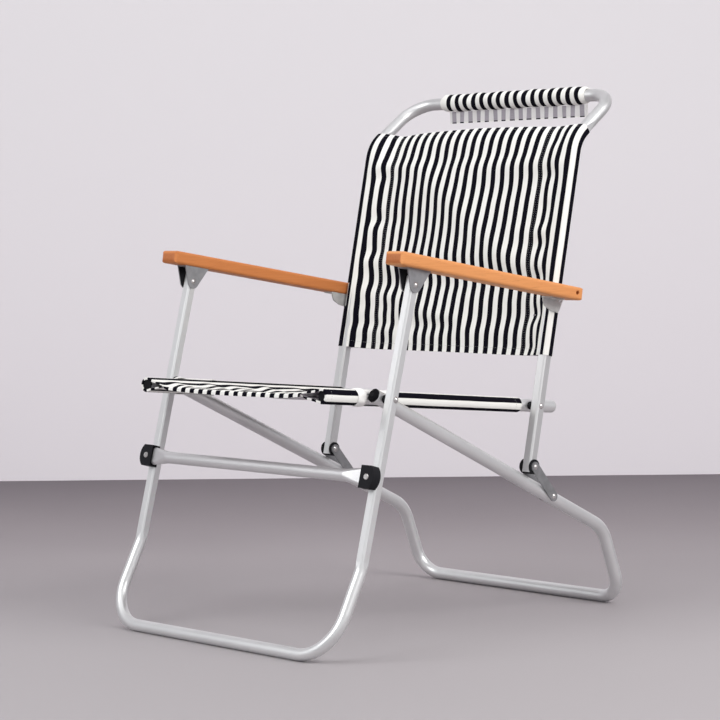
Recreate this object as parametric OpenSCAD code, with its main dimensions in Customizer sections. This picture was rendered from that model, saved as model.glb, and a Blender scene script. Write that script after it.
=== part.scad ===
// Folding camp armchair: tube frames, wooden armrests and striped sling fabric.
// Units are millimetres. The chair stands on z = 0 and faces -Y; X is across the chair.
// All four frames turn about axes parallel to X, and each frame has its own layer in X.

/* [Width] */
// half distance between the seat rails, to the tube centre
rail_x = 214; // [205:1:220]
// gap between the seat rails and the rear legs
inner_gap = 5; // [3:0.5:8]
// gap between the rear legs and the front legs
outer_gap = 6.5; // [4:0.5:9]
// gap between the back uprights and the armrests
arm_gap = 2.25; // [1.5:0.25:4]

/* [Tubes] */
// outside diameter of the rear leg, seat rail and back tubes
tube_d = 22; // [20:0.5:22]
// outside diameter of the front leg tube
front_d = 20; // [19:0.5:21]
// tube wall
wall = 1.5; // [1.2:0.1:2]
// distance across the four flats of the back uprights
up_sq = 18.5; // [17.5:0.25:19]
// distance across the four flats of the front legs
leg_sq = 17; // [16:0.25:17.5]

/* [Side view] */
// height of the pivot that the seat, front leg and rear leg share
pivot_z = 400; // [380:1:420]
// lean of the front leg from upright, degrees
leg_lean = 15.3; // [13:0.1:18]
// lean of the lower, round part of the front leg, degrees
toe_lean = 28.5; // [20:0.5:32]
// height of the kink in the front leg
kink_z = 139; // [120:1:150]
// lean of the back uprights, degrees
back_lean = 12.75; // [11:0.25:15]
// extra bend of the back above the fabric, degrees
head_bend = 41.9; // [30:0.1:50]
// height where the back upright bends
head_z = 815; // [780:1:840]
// length from that bend to the top bar
head_len = 136; // [115:1:150]
// corner radius of the top bar
top_r = 50; // [40:1:60]
// corner radius of the front floor bar
front_bar_r = 72; // [55:1:85]
// corner radius of the rear floor bar
rear_bar_r = 45; // [38:1:60]

/* [Soft parts] */
// thickness of the fabric
cloth = 1.1; // [0.9:0.1:1.4]
// dip of the seat fabric in the middle
seat_sag = 16; // [8:1:22]
// dip of the back fabric in the middle
back_sag = 7; // [4:1:18]
// radius of the padded roll on the top bar
roll_r = 16; // [14:0.5:18]

/* [Armrests] */
// width of the wooden armrest
arm_w = 37; // [34:1:40]
// height of the wooden armrest
arm_h = 22; // [20:1:28]
// length of the wooden armrest
arm_len = 444; // [420:1:460]
// distance from the front pivot back to the middle of the armrest
arm_mid = 172.2; // [165:0.2:180]
// height of the armrest's underside above the front pivot
arm_lift = 26; // [22:0.5:30]
// slope of the armrest, degrees, lower at the back
arm_slope = 9.23; // [8:0.05:10]
// hanging hole at the rear end
hole_d = 7; // [6:0.5:8]
// broken edge of that hole
hole_edge = 0.8; // [0.4:0.1:1]

/* [Fasteners] */
// rivet shank diameter
rivet_d = 6; // [5:0.5:6.5]
// rivet head diameter
rivet_head = 10.5; // [9:0.5:12]
// running clearance on the radius of a hinge bore
fit = 0.06; // [0.03:0.01:0.09]
// clearance on the radius of a hole that a rivet fills
snug = 0.02; // [0.01:0.01:0.04]
// clearance of an end plug in its tube
plug_gap = 0.1; // [0.05:0.05:0.3]
// thickness of the link plates and brackets
plate = 2.5; // [2:0.1:2.5]

/* [Hidden] */
$fn = 40;
eps = 0.01;
// which node to build

tr = tube_d / 2;
fr = front_d / 2;
rr = rivet_d / 2;
// centres of the uprights and rear legs, and of the front legs
mid_x = rail_x + tube_d + inner_gap;
front_x = mid_x + tr + outer_gap + leg_sq / 2;
// gap between faces that rub
rub = 0.05;
// directions in the side view, as [y, z]
leg_d = [sin(leg_lean), cos(leg_lean)];
toe_d = [sin(toe_lean), cos(toe_lean)];
up_d = [sin(back_lean), cos(back_lean)];
head_d = [sin(back_lean + head_bend), cos(back_lean + head_bend)];
arm_dir = [cos(arm_slope), -sin(arm_slope)];
arm_up = [sin(arm_slope), cos(arm_slope)];
function yat(p, d, z) = [p[0] + (z - p[1]) * d[0] / d[1], z];

// pivots; the arm loop is a parallelogram, so its far corner follows from the other three
P3 = [-229.5, pivot_z];
leg_p = P3 - [1.5, 0];
P1 = [-184.4, pivot_z + 177.5];
P5 = [144.9, pivot_z - 35.4];
P2 = [P5[0] + P1[0] - P3[0], P5[1] + P1[1] - P3[1]];
up_p = P5 + [1.5, 0];
P6 = yat(up_p, up_d, pivot_z - 136) + [0.6, 0];
P7 = [171, pivot_z - 189.9];
rail_d = (P5 - P3) / norm(P5 - P3);
rail_up = [-rail_d[1], rail_d[0]];
rear_d = (P7 - P3) / norm(P7 - P3);
// front leg
leg_K = yat(leg_p, leg_d, kink_z);
leg_F = [leg_K[0] - (kink_z - fr) * toe_d[0] / toe_d[1], fr];
leg_top = 14;
leg_T = yat(leg_p, leg_d, pivot_z - 122);
// rear leg
rear_K = P3 + rear_d * 603;
rear_F = [rear_K[0] + 50.5, tr];
rear_end = 15;
foot_d = (rear_F - rear_K) / norm(rear_F - rear_K);
// back
up_V = yat(up_p, up_d, head_z);
bar_c = up_V + head_d * head_len;
up_end = 10;
bend_r = 60;

// ---------- helpers ----------
// stand children, built along +Z from the origin, on the point a and aim them at b
module aim(x, a, b) {
  translate([x, a[0], a[1]]) rotate([-atan2(b[0] - a[0], b[1] - a[1]), 0, 0]) children();
}
// cylinder along X
module xcyl(x0, x1, p, r) {
  translate([x0, p[0], p[1]]) rotate([0, 90, 0]) cylinder(r = r, h = x1 - x0);
}
// domed rivet head on the plane x, pointing to +X (s = 1) or -X (s = -1)
module xdome(x, p, d, h, s) {
  R = (d * d / 4 + h * h) / (2 * h);
  translate([x, p[0], p[1]]) rotate([0, s * 90, 0]) intersection() {
    translate([0, 0, h - R]) sphere(r = R);
    cylinder(d = d, h = h + 1);
  }
}
module both() {
  children();
  mirror([1, 0, 0]) children();
}
// square with round corners
module rsq(s, r) {
  square([s, s - 2 * r], center = true);
  square([s - 2 * r, s], center = true);
  for (i = [-1, 1], j = [-1, 1]) translate([i, j] * (s / 2 - r)) circle(r = r);
}
// each bend runs on by lap at both ends, inside the straight tubes, which stop where it starts
lap = 0.4;
// how much thinner than those tubes its wall is, on each side
thin = 0.06;
// bend in the side view at x: from direction d0 to direction d1 through the point v,
// radius R, turning towards local +Y (s = 1) or -Y (s = -1); the child is the 2-D section
module side_bend(x, v, d0, d1, R, s) {
  a0 = atan2(d0[0], d0[1]);
  da = s * (atan2(d1[0], d1[1]) - a0);
  t = R * tan(da / 2);
  e = lap / R * 180 / PI;
  translate([x, v[0] - d0[0] * t, v[1] - d0[1] * t]) rotate([-a0, 0, 0])
    translate([0, s * R, 0]) rotate([0, 90, 0]) rotate([0, 0, s * (e - 90)])
      rotate_extrude(angle = -s * (da + 2 * e), $fn = 96) translate([R, 0]) rotate(90) children();
}
function bend_t(d0, d1, R) = R * tan(abs(atan2(d1[0], d1[1]) - atan2(d0[0], d0[1])) / 2);
// quarter bend from a leg that comes along d to a bar along X; v is the corner on the leg line
module foot_bend(x, v, d, R) {
  e = lap / R * 180 / PI;
  translate([x, v[0], v[1]]) rotate([-atan2(d[0], d[1]), 0, 0])
    translate([-R, 0, -R]) rotate([90, e, 0])
      rotate_extrude(angle = 90 + 2 * e, $fn = 96) translate([R, 0]) children();
}
// straight bar along X through v between two such corners, from -x to x
module cross_bar(x, v, d) translate([-x, v[0], v[1]]) rotate([90, 0, 90]) rotate(atan2(d[1], d[0]))
  linear_extrude(2 * x) children();
// tube sections; k thins the wall on both sides
module ring(r, k = 0) difference() {
  circle(r = r - k);
  circle(r = r - wall + k);
}
// round tube with four flats, s across the flats
module flat_full(r, s) intersection() {
  circle(r = r);
  square(s, center = true);
}
module flat_ring(r, s, k = 0) difference() {
  flat_full(r - k, s - 2 * k);
  flat_full(r - wall + k, s - 2 * wall + 2 * k);
}
// the flats run out into the round tube over the length len
module run_out(r, s, len) difference() {
  translate([0, 0, -lap]) linear_extrude(len + 2 * lap) difference() {
    circle(r = r - thin);
    flat_full(r - wall + thin, s - 2 * wall + 2 * thin);
  }
  for (k = [0:3]) rotate(90 * k) translate([s / 2 - thin, -20, 0])
    rotate([0, atan2(r - s / 2, len), 0]) translate([0, 0, -5]) cube([20, 40, len + 20]);
}

// ---------- seat ----------
rail_front = P3[0] - 95.5;
rail_rear = P5[0] + 51.1;
rail_a = P3 + rail_d * ((rail_front - P3[0]) / rail_d[0]);
rail_b = P3 + rail_d * ((rail_rear - P3[0]) / rail_d[0]);
module seat_rail() {
  L = norm(rail_b - rail_a);
  difference() {
    aim(rail_x, rail_a, rail_b) difference() {
      cylinder(r = tr, h = L);
      translate([0, 0, -1]) cylinder(r = tr - wall, h = L + 2);
    }
    for (p = [P3, P5]) xcyl(rail_x - 20, rail_x + 20, p, rr + snug);
  }
}
module seat_rail_right() color("silver") seat_rail();
module seat_rail_left() color("silver") mirror([1, 0, 0]) seat_rail();
module rail_rear_caps() color("gainsboro") both() aim(rail_x, rail_b, rail_b + rail_d) {
  rotate_extrude() union() {
    square([tr - 5, 20]);
    square([tr, 15]);
    translate([tr - 5, 15]) intersection() { circle(r = 5); square(5); }
  }
  translate([0, 0, -12]) cylinder(r = tr - wall - plug_gap, h = 12 + eps);
}
module rail_front_plugs() color("black") both() aim(rail_x, rail_a, rail_a - rail_d) {
  cylinder(r = tr, h = 2.5);
  translate([0, 0, -12]) cylinder(r = tr - wall - plug_gap, h = 12 + eps);
}
// seat fabric, in the section across the rails: x across, y down
slv = tr + 0.4;
seat_n = 16;
seat_x = rail_x - 6;
function seat_y(x) = -(tr + cloth) + 2 + seat_sag * (1 - pow(x / seat_x, 2));
seat_len = 470;
seat_off = rail_front - 20;
module seat_section() {
  for (s = [-1, 1]) translate([s * rail_x, 0]) difference() {
    circle(r = slv + cloth);
    circle(r = slv);
  }
  difference() {
    polygon(concat(
      [for (i = [0:seat_n]) let (x = seat_x * (2 * i / seat_n - 1)) [x, seat_y(x)]],
      [for (i = [seat_n:-1:0]) let (x = seat_x * (2 * i / seat_n - 1)) [x, seat_y(x) + cloth]]));
    for (s = [-1, 1]) translate([s * rail_x, 0]) circle(r = slv + cloth / 2);
  }
}
module seat_fabric() color("whitesmoke") {
  a = P3 + rail_d * ((seat_off - P3[0]) / rail_d[0]);
  aim(0, a, a + rail_d) difference() {
    linear_extrude(seat_len) seat_section();
    // cut-outs of the sleeves around the pivots
    z0 = norm(P3 - a);
    both() translate([rail_x - 4, -8, z0 - 17]) cube([30, 40, 72]);
    // eyelets for the rivets' inner heads
    both() translate([rail_x - tr - 8, 0, z0]) rotate([0, 90, 0]) cylinder(r = rivet_head / 2 + 0.5, h = 14);
  }
}
module main_pivot_rivets() color("silver") both() {
  x0 = rail_x - tr;
  x1 = front_x + leg_sq / 2;
  xcyl(x0 - eps, x1 + eps, P3, rr);
  xdome(x0, P3, rivet_head, 2.4, -1);
  xdome(x1, P3, rivet_head, 3, 1);
}
module collar(x0, x1, p, r) difference() {
  xcyl(x0, x1, p, r);
  xcyl(x0 - 1, x1 + 1, p, rr + snug);
}
module main_inner_spacers() color("black") both()
  collar(rail_x + tr + rub, mid_x - tr - rub, P3, 7);
module main_outer_spacers() color("black") both()
  collar(mid_x + tr + rub, front_x - leg_sq / 2 - rub, P3, 7);
module seat_back_rivets() color("silver") both() {
  x0 = rail_x - tr;
  x1 = mid_x + up_sq / 2;
  xcyl(x0 - eps, x1 + eps, P5, rr);
  xdome(x0, P5, rivet_head, 2.4, -1);
  xdome(x1, P5, rivet_head, 3, 1);
}
module seat_back_spacers() color("black") both()
  collar(rail_x + tr + rub, mid_x - up_sq / 2 - rub, P5, 6.8);

// ---------- front legs ----------
leg_len = (P1 - leg_K) * leg_d + leg_top;
kink_r = 32;
kt = bend_t(toe_d, leg_d, kink_r);
flat_start = 10;
module front_shape() {
  both() {
    aim(front_x, leg_K + leg_d * (kt + flat_start), leg_K + leg_d * leg_len)
      linear_extrude(leg_len - kt - flat_start) flat_ring(fr, leg_sq);
    aim(front_x, leg_K + leg_d * (kt + flat_start), leg_K) run_out(fr, leg_sq, flat_start);
    side_bend(front_x, leg_K, toe_d, leg_d, kink_r, -1) ring(fr, 2 * thin);
    aim(front_x, leg_F + toe_d * front_bar_r, leg_K)
      linear_extrude(norm(leg_K - leg_F) - front_bar_r - kt) ring(fr);
    foot_bend(front_x, leg_F, -toe_d, front_bar_r) ring(fr, thin);
  }
  cross_bar(front_x - front_bar_r, leg_F, -toe_d) ring(fr);
}
module front_leg_frame() color("silver") difference() {
  front_shape();
  both() xcyl(front_x - 20, front_x + 20, P3, rr + fit);
  both() xcyl(front_x - 20, front_x + 20, P1, rr + fit);
  both() translate([front_x, leg_T[0], leg_T[1]]) rotate([-leg_lean, 0, 0]) rotate([90, 0, 0])
    translate([0, 0, -20]) cylinder(r = 2.5 + 0.05, h = 40);
}
// stretcher on the front faces of the legs: x across, local z up the leg, local y backwards
cap_gap = leg_sq / 2;
st_y = -(leg_sq / 2 + 8);
module on_leg() translate([0, leg_T[0], leg_T[1]]) rotate([-leg_lean, 0, 0]) children();
module oval(h, t) {
  square([t, h - t], center = true);
  for (i = [-1, 1]) translate([0, i * (h - t) / 2]) circle(d = t);
}
module st_slice(x, h, t) translate([x, st_y, 0]) rotate([90, 0, 90]) linear_extrude(0.4) oval(h, t);
module stretcher() color("silver") on_leg() difference() {
  union() {
    translate([-(front_x - 52), st_y, 0]) rotate([0, 90, 0]) cylinder(r = 10, h = 2 * (front_x - 52));
    both() {
      hull() {
        translate([front_x - 52.2, st_y, 0]) rotate([0, 90, 0]) cylinder(r = 9.95, h = 0.4);
        st_slice(front_x - 34, 25, 14);
      }
      hull() {
        st_slice(front_x - 34, 25, 14);
        st_slice(front_x - 16, 30, 10);
      }
      translate([front_x - 16, st_y, 0]) rotate([90, 0, 90]) linear_extrude(25) oval(29.9, 9.9);
    }
  }
  both() translate([front_x, st_y, 0]) rotate([90, 0, 0]) translate([0, 0, -20]) cylinder(r = 2.55, h = 40);
}
module cap_outline(g) {
  // D shape: straight inner edge, round outer edge
  intersection() {
    translate([-14 - g, -18 - g]) square([30 + 2 * g, 36 + 2 * g]);
    translate([-9, 0]) circle(r = 24.5 + g);
  }
}
module stretcher_caps() color("black") both() on_leg() difference() {
  translate([front_x, -leg_sq / 2 - rub, 0]) rotate([90, 0, 0]) linear_extrude(16.5 - rub) cap_outline(0);
  translate([front_x - 20, st_y, 0]) rotate([90, 0, 90]) linear_extrude(30) oval(30.2, 10.2);
  translate([front_x, st_y, 0]) rotate([90, 0, 0]) translate([0, 0, -20]) cylinder(r = 2.55, h = 40);
}
module stretcher_rivets() color("silver") both() on_leg() translate([front_x, 0, 0]) rotate([90, 0, 0]) {
  translate([0, 0, -leg_sq / 2 - eps]) cylinder(r = 2.5, h = leg_sq + 16.5 + 2 * eps);
  translate([0, 0, leg_sq / 2 + 16.5]) cylinder(d1 = 10, d2 = 8.4, h = 1.2);
  translate([0, 0, -leg_sq / 2 - 1.6]) cylinder(d1 = 6, d2 = 9, h = 1.6);
}

// ---------- rear legs ----------
rear_r = 65;
rt = bend_t(rear_d, foot_d, rear_r);
module rear_shape() {
  both() {
    aim(mid_x, P3 - rear_d * rear_end, rear_K)
      linear_extrude(norm(rear_K - P3) + rear_end - rt) ring(tr);
    side_bend(mid_x, rear_K, rear_d, foot_d, rear_r, 1) ring(tr, thin);
    aim(mid_x, rear_K + foot_d * rt, rear_F)
      linear_extrude(norm(rear_F - rear_K) - rt - rear_bar_r) ring(tr);
    foot_bend(mid_x, rear_F, foot_d, rear_bar_r) ring(tr, thin);
  }
  cross_bar(mid_x - rear_bar_r, rear_F, foot_d) ring(tr);
}
module rear_leg_frame() color("silver") difference() {
  rear_shape();
  both() xcyl(mid_x - 20, mid_x + 20, P3, rr + fit);
}
module rear_leg_plugs() color("black") both() aim(mid_x, P3 - rear_d * rear_end, P3 - rear_d * 40) {
  intersection() {
    cylinder(r = tr + 0.2, h = 5);
    translate([0, 0, -12]) sphere(r = 17);
  }
  translate([0, 0, -8]) cylinder(r = tr - wall - plug_gap, h = 8 + eps);
}

// ---------- back ----------
ht = bend_t(up_d, head_d, bend_r);
up_low = yat(up_p, up_d, P6[1]) - up_d * up_end;
flat_past = 22;
module back_shape() {
  up_len = norm(up_V - up_low) - ht;
  both() {
    aim(mid_x, up_low, up_V) linear_extrude(up_len) flat_ring(tr, up_sq);
    side_bend(mid_x, up_V, up_d, head_d, bend_r, 1) flat_ring(tr, up_sq, thin);
    aim(mid_x, up_V + head_d * ht, bar_c) linear_extrude(4) flat_ring(tr, up_sq);
    aim(mid_x, up_V + head_d * (ht + 4), bar_c) run_out(tr, up_sq, flat_past);
    aim(mid_x, up_V + head_d * (ht + 4 + flat_past), bar_c)
      linear_extrude(head_len - ht - 4 - flat_past - top_r) ring(tr);
    foot_bend(mid_x, bar_c, head_d, top_r) ring(tr, thin);
  }
  cross_bar(mid_x - top_r, bar_c, head_d) ring(tr);
}
module back_frame() color("silver") difference() {
  back_shape();
  both() xcyl(mid_x - 20, mid_x + 20, P5, rr + fit);
  both() xcyl(mid_x - 20, mid_x + 20, P6, rr + fit);
  both() xcyl(mid_x, mid_x + 20, P2, rr + fit);
}
// black caps: a plug in the tube end and a round cheek on each side of the upright
cheek = 2.25;
module back_end_caps() color("black") both() difference() {
  union() {
    xcyl(mid_x + up_sq / 2 + 0.02, mid_x + up_sq / 2 + cheek, P6, 12.5);
    xcyl(mid_x - up_sq / 2 - cheek, mid_x - up_sq / 2 - 0.02, P6, 12.5);
    difference() {
      xcyl(mid_x - up_sq / 2 - cheek, mid_x + up_sq / 2 + cheek, P6, 12.5);
      aim(0, up_low, up_V) translate([mid_x - 30, -30, 0]) cube([60, 60, 60]);
    }
    aim(mid_x, up_low, up_V) linear_extrude(3) flat_full(tr - wall - plug_gap, up_sq - 2 * (wall + plug_gap));
  }
  xcyl(mid_x - 30, mid_x + 30, P6, rr + snug);
}
module link_pivot_rivets() color("silver") both() {
  x0 = mid_x - up_sq / 2 - cheek - plate - 0.1;
  x1 = mid_x + up_sq / 2 + cheek + plate + 0.1;
  xcyl(x0 - eps, x1 + eps, P6, rr);
  xdome(x0, P6, 10, 1.6, -1);
  xdome(x1, P6, 10, 2.6, 1);
}
// back fabric, in the section across the uprights: x across, y backwards
bs_in = up_sq / 2 + 0.45;
bs_out = bs_in + cloth;
back_n = 16;
bx = mid_x - 4;
// distance from the upright to the seam where the back fabric's sleeve ends
pocket = 64;
function back_y(x) = -bs_out + 0.25 + back_sag * (1 - pow(x / bx, 2));
module back_section(k = 0) {
  for (s = [-1, 1]) translate([s * mid_x, 0]) difference() {
    rsq(2 * bs_out - 2 * k, 6.4);
    rsq(2 * bs_in + 2 * k, 5.3);
  }
  difference() {
    union() {
      polygon(concat(
        [for (i = [0:back_n]) let (x = bx * (2 * i / back_n - 1)) [x, back_y(x) + k]],
        [for (i = [back_n:-1:0]) let (x = bx * (2 * i / back_n - 1)) [x, back_y(x) + cloth - k]]));
      for (s = [-1, 1]) let (xi = mid_x - pocket)
        polygon([[s * bx, bs_out - cloth + k], [s * bx, bs_out - k],
          [s * xi, back_y(xi) + 2 * cloth - k], [s * (xi - 6), back_y(xi - 6) + cloth - 0.1 - k],
          [s * xi, back_y(xi) + cloth - 0.1 - k]]);
    }
    for (s = [-1, 1]) translate([s * mid_x, 0]) rsq(2 * bs_in + cloth, 5.8);
  }
}
cloth_low = P5[1] + 87.4;
cloth_past = 5;
module back_fabric() color("whitesmoke") difference() {
  a = yat(up_p, up_d, cloth_low);
  union() {
    aim(0, a, up_V) linear_extrude(norm(up_V - a) - ht) back_section();
    side_bend(0, up_V, up_d, head_d, bend_r, 1) back_section(thin);
    aim(0, up_V + head_d * ht, bar_c) linear_extrude(cloth_past) back_section();
  }
  // slits around the armrest pivots
  both() aim(mid_x, P2, P2 + up_d) translate([0, -14, -22]) cube([30, 28, 44]);
}
// the roll stops short of the bar's bends
roll_x = mid_x - top_r - 13;
module head_roll() color("whitesmoke") translate([0, bar_c[0], bar_c[1]]) rotate([0, 90, 0])
  difference() {
    rotate_extrude() union() {
      translate([tr + 0.35, -roll_x]) square([roll_r - tr - 0.35, 2 * roll_x]);
    }
    cylinder(r = tr + 0.35, h = 2 * roll_x + 2, center = true);
  }
module head_roll_flap() color("whitesmoke")
  translate([26 - roll_x, bar_c[0] - 1.2, bar_c[1] - roll_r - 22.3]) cube([2 * roll_x - 42, 2.4, 22]);

// ---------- armrests ----------
arm_x = mid_x + up_sq / 2 + arm_gap + arm_w / 2;
arm_c = P1 + arm_dir * arm_mid + arm_up * (arm_lift + arm_h / 2);
module arm_frame() translate([0, arm_c[0], arm_c[1]]) rotate([-arm_slope, 0, 0]) children();
// a point of the side view in the armrest's own frame
function arm_loc(p) = let (q = p - arm_c) [q * arm_dir, q * arm_up];
module rrect(a, b, r) {
  square([a, b - 2 * r], center = true);
  square([a - 2 * r, b], center = true);
  for (i = [-1, 1], j = [-1, 1]) translate([i * (a / 2 - r), j * (b / 2 - r)]) circle(r = r);
}
rb_x = mid_x + up_sq / 2 + arm_gap + 0.3;
scr_f = [for (d = [-13, 21]) arm_loc(P1)[0] + d];
scr_r = [for (d = [-37, -19]) arm_loc(P2)[0] + d];
// eye of the rear bracket
eye_r = 7;
module armrest() difference() {
  arm_frame() translate([arm_x, 0, 0]) intersection() {
    rotate([90, 0, 90]) linear_extrude(arm_w + 2, center = true) rrect(arm_len, arm_h, arm_h / 2 - 3);
    rotate([90, 0, 0]) linear_extrude(arm_len + 2, center = true) rrect(arm_w, arm_h, 5);
    linear_extrude(arm_h + 2, center = true) rrect(arm_w, arm_len, 6);
  }
  // hanging hole at the back end, with both edges broken
  arm_frame() translate([arm_x, arm_len / 2 - 15.5, arm_h / 2 - 10]) rotate([0, 90, 0]) {
    cylinder(d = hole_d, h = arm_w + 4, center = true);
    for (s = [0, 1]) mirror([0, 0, s]) translate([0, 0, arm_w / 2 - hole_edge])
      cylinder(r1 = hole_d / 2, r2 = hole_d / 2 + 2 * hole_edge, h = 2 * hole_edge);
  }
  // pockets for the rear bracket's eye and its rivet head
  xcyl(arm_x - arm_w / 2 - 1, rb_x + plate + 0.3, P2, eye_r + 0.3);
  xcyl(rb_x, rb_x + plate + 3.6, P2, eye_r - 1.2);
  // screw holes
  arm_frame() for (y = scr_f) translate([front_x, y, -arm_h / 2 - 1]) cylinder(r = 1.8, h = 14);
  arm_frame() for (y = scr_r) translate([rb_x + 12, y, -arm_h / 2 - 1]) cylinder(r = 1.8, h = 14);
}
module armrest_right() color("sandybrown") armrest();
module armrest_left() color("sandybrown") mirror([1, 0, 0]) armrest();
// front bracket: folded plate with two ears around the top of the leg
fb_in = leg_sq / 2 + 0.35;
fb_t = 2.2;
p1l = arm_loc(P1);
function tangent_pt(q, r, s) = let (l = norm(q), a = acos(r / l), b = atan2(q[1], q[0]))
  [r * cos(b + s * a), r * sin(b + s * a)];
ear_h = -arm_h / 2 - p1l[1];
ear_a = [-21.5, ear_h];
ear_b = [31, ear_h];
ear_r = 12;
module ear_outline() {
  circle(r = ear_r);
  polygon([ear_a, tangent_pt(ear_a, ear_r - 0.05, 1), [0, 0], tangent_pt(ear_b, ear_r - 0.05, -1), ear_b]);
}
module front_bracket() difference() {
  arm_frame() translate([0, p1l[0], p1l[1]]) {
    for (x = [front_x - fb_in - fb_t, front_x + fb_in]) translate([x, 0, 0]) rotate([90, 0, 90])
      linear_extrude(fb_t) ear_outline();
    translate([front_x - fb_in - fb_t, ear_a[0], ear_h - fb_t])
      cube([2 * (fb_in + fb_t), ear_b[0] - ear_a[0], fb_t]);
  }
  xcyl(front_x - 30, front_x + 30, P1, rr + snug);
  arm_frame() for (y = scr_f) translate([front_x, y, -arm_h / 2 - fb_t - 0.01])
    cylinder(r1 = 3.55, r2 = 1.8, h = fb_t + 0.02);
}
module front_bracket_right() color("gray") front_bracket();
module front_bracket_left() color("gray") mirror([1, 0, 0]) front_bracket();
// rear bracket: folded plate, with a flange under the armrest and an ear beside the upright
module rear_bracket() difference() {
  union() {
    translate([rb_x, 0, 0]) rotate([90, 0, 90]) linear_extrude(plate) {
      intersection() {
        translate(P2) polygon([[-44, 20], [-43, 0], [-40, -8], [-26, -16.5], [-9.5, -20.8], [-1, -16], [7, 0],
          [7, 20]]);
        translate(arm_c) rotate(-arm_slope) translate([arm_loc(P2)[0] - 60, -arm_h / 2 - 60])
          square([80, 60]);
      }
      translate(P2) circle(r = eye_r);
      translate(P2 + [-8, -14.3]) circle(r = 6.5);
    }
    arm_frame() translate([rb_x, arm_loc(P2)[0] - 45, -arm_h / 2 - plate]) cube([20, 36, plate]);
  }
  xcyl(rb_x - 1, rb_x + plate + 1, P2, rr + snug);
  arm_frame() for (y = scr_r) translate([rb_x + 12, y, -arm_h / 2 - plate - 0.01])
    cylinder(r1 = 3.55, r2 = 1.8, h = plate + 0.02);
}
module rear_bracket_right() color("lightgray") rear_bracket();
module rear_bracket_left() color("lightgray") mirror([1, 0, 0]) rear_bracket();
module screw(head, len) {
  cylinder(r1 = 3.5, r2 = 1.75, h = head);
  cylinder(r = 1.75, h = len);
}
module arm_screws() arm_frame() {
  for (y = scr_f) translate([front_x, y, -arm_h / 2 - fb_t + 0.02]) screw(fb_t - 0.04, 14);
  for (y = scr_r) translate([rb_x + 12, y, -arm_h / 2 - plate + 0.02]) screw(plate - 0.04, 13);
}
module arm_screws_right() color("silver") arm_screws();
module arm_screws_left() color("silver") mirror([1, 0, 0]) arm_screws();
module arm_front_rivet() {
  x0 = front_x - fb_in - fb_t;
  x1 = front_x + fb_in + fb_t;
  xcyl(x0 - eps, x1 + eps, P1, rr);
  xdome(x0, P1, 9.5, 2, -1);
  xdome(x1, P1, 9.5, 2.6, 1);
}
module arm_front_rivet_right() color("silver") arm_front_rivet();
module arm_front_rivet_left() color("silver") mirror([1, 0, 0]) arm_front_rivet();
module arm_rear_rivet() {
  xcyl(mid_x + 3, rb_x + plate + eps, P2, rr);
  xdome(rb_x + plate, P2, 10, 2.4, 1);
}
module arm_rear_rivet_right() color("silver") arm_rear_rivet();
module arm_rear_rivet_left() color("silver") mirror([1, 0, 0]) arm_rear_rivet();
module arm_rear_spacer() collar(mid_x + up_sq / 2 + 0.06, rb_x - 0.02, P2, 6);
module arm_rear_spacer_right() color("black") arm_rear_spacer();
module arm_rear_spacer_left() color("black") mirror([1, 0, 0]) arm_rear_spacer();

// ---------- links ----------
link_v = P7 - P6;
module link_outline() {
  circle(r = 8.6);
  translate([norm(link_v), 0]) circle(r = 8.6);
  translate([0, -8.6]) square([norm(link_v), 17.2]);
}
module link_plates() for (x = [mid_x + up_sq / 2 + cheek + 0.04, mid_x - up_sq / 2 - cheek - plate - 0.04])
  difference() {
    translate([x, P6[0], P6[1]]) rotate([atan2(link_v[1], link_v[0]), 0, 0]) rotate([90, 0, 90])
      linear_extrude(plate) link_outline();
    xcyl(x - 1, x + plate + 1, P6, rr + fit);
    xcyl(x - 1, x + plate + 1, P7, rr + snug);
  }
module link_plates_right() color("gray") link_plates();
module link_plates_left() color("gray") mirror([1, 0, 0]) link_plates();
module link_end_rivets() {
  xo = mid_x + up_sq / 2 + cheek + 0.04;
  xi = mid_x - up_sq / 2 - cheek - 0.04;
  xcyl(xo, xo + plate + eps, P7, rr);
  xdome(xo + plate, P7, 10, 2.6, 1);
  xcyl(xi - plate - eps, xi, P7, rr);
  xdome(xi - plate, P7, 10, 1.6, -1);
}
module link_end_rivets_right() color("silver") link_end_rivets();
module link_end_rivets_left() color("silver") mirror([1, 0, 0]) link_end_rivets();

seat_rail_left();
seat_rail_right();
rail_rear_caps();
rail_front_plugs();
seat_fabric();
main_pivot_rivets();
main_inner_spacers();
main_outer_spacers();
seat_back_rivets();
seat_back_spacers();
front_leg_frame();
stretcher();
stretcher_caps();
stretcher_rivets();
rear_leg_frame();
rear_leg_plugs();
back_frame();
back_end_caps();
back_fabric();
head_roll();
head_roll_flap();
link_pivot_rivets();
armrest_left();
armrest_right();
front_bracket_left();
front_bracket_right();
rear_bracket_left();
rear_bracket_right();
arm_screws_left();
arm_screws_right();
arm_front_rivet_left();
arm_front_rivet_right();
arm_rear_rivet_left();
arm_rear_rivet_right();
arm_rear_spacer_left();
arm_rear_spacer_right();
link_plates_left();
link_plates_right();
link_end_rivets_left();
link_end_rivets_right();
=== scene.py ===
import math

import bmesh
import bpy
import numpy as np
from mathutils import Matrix, Vector


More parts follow.
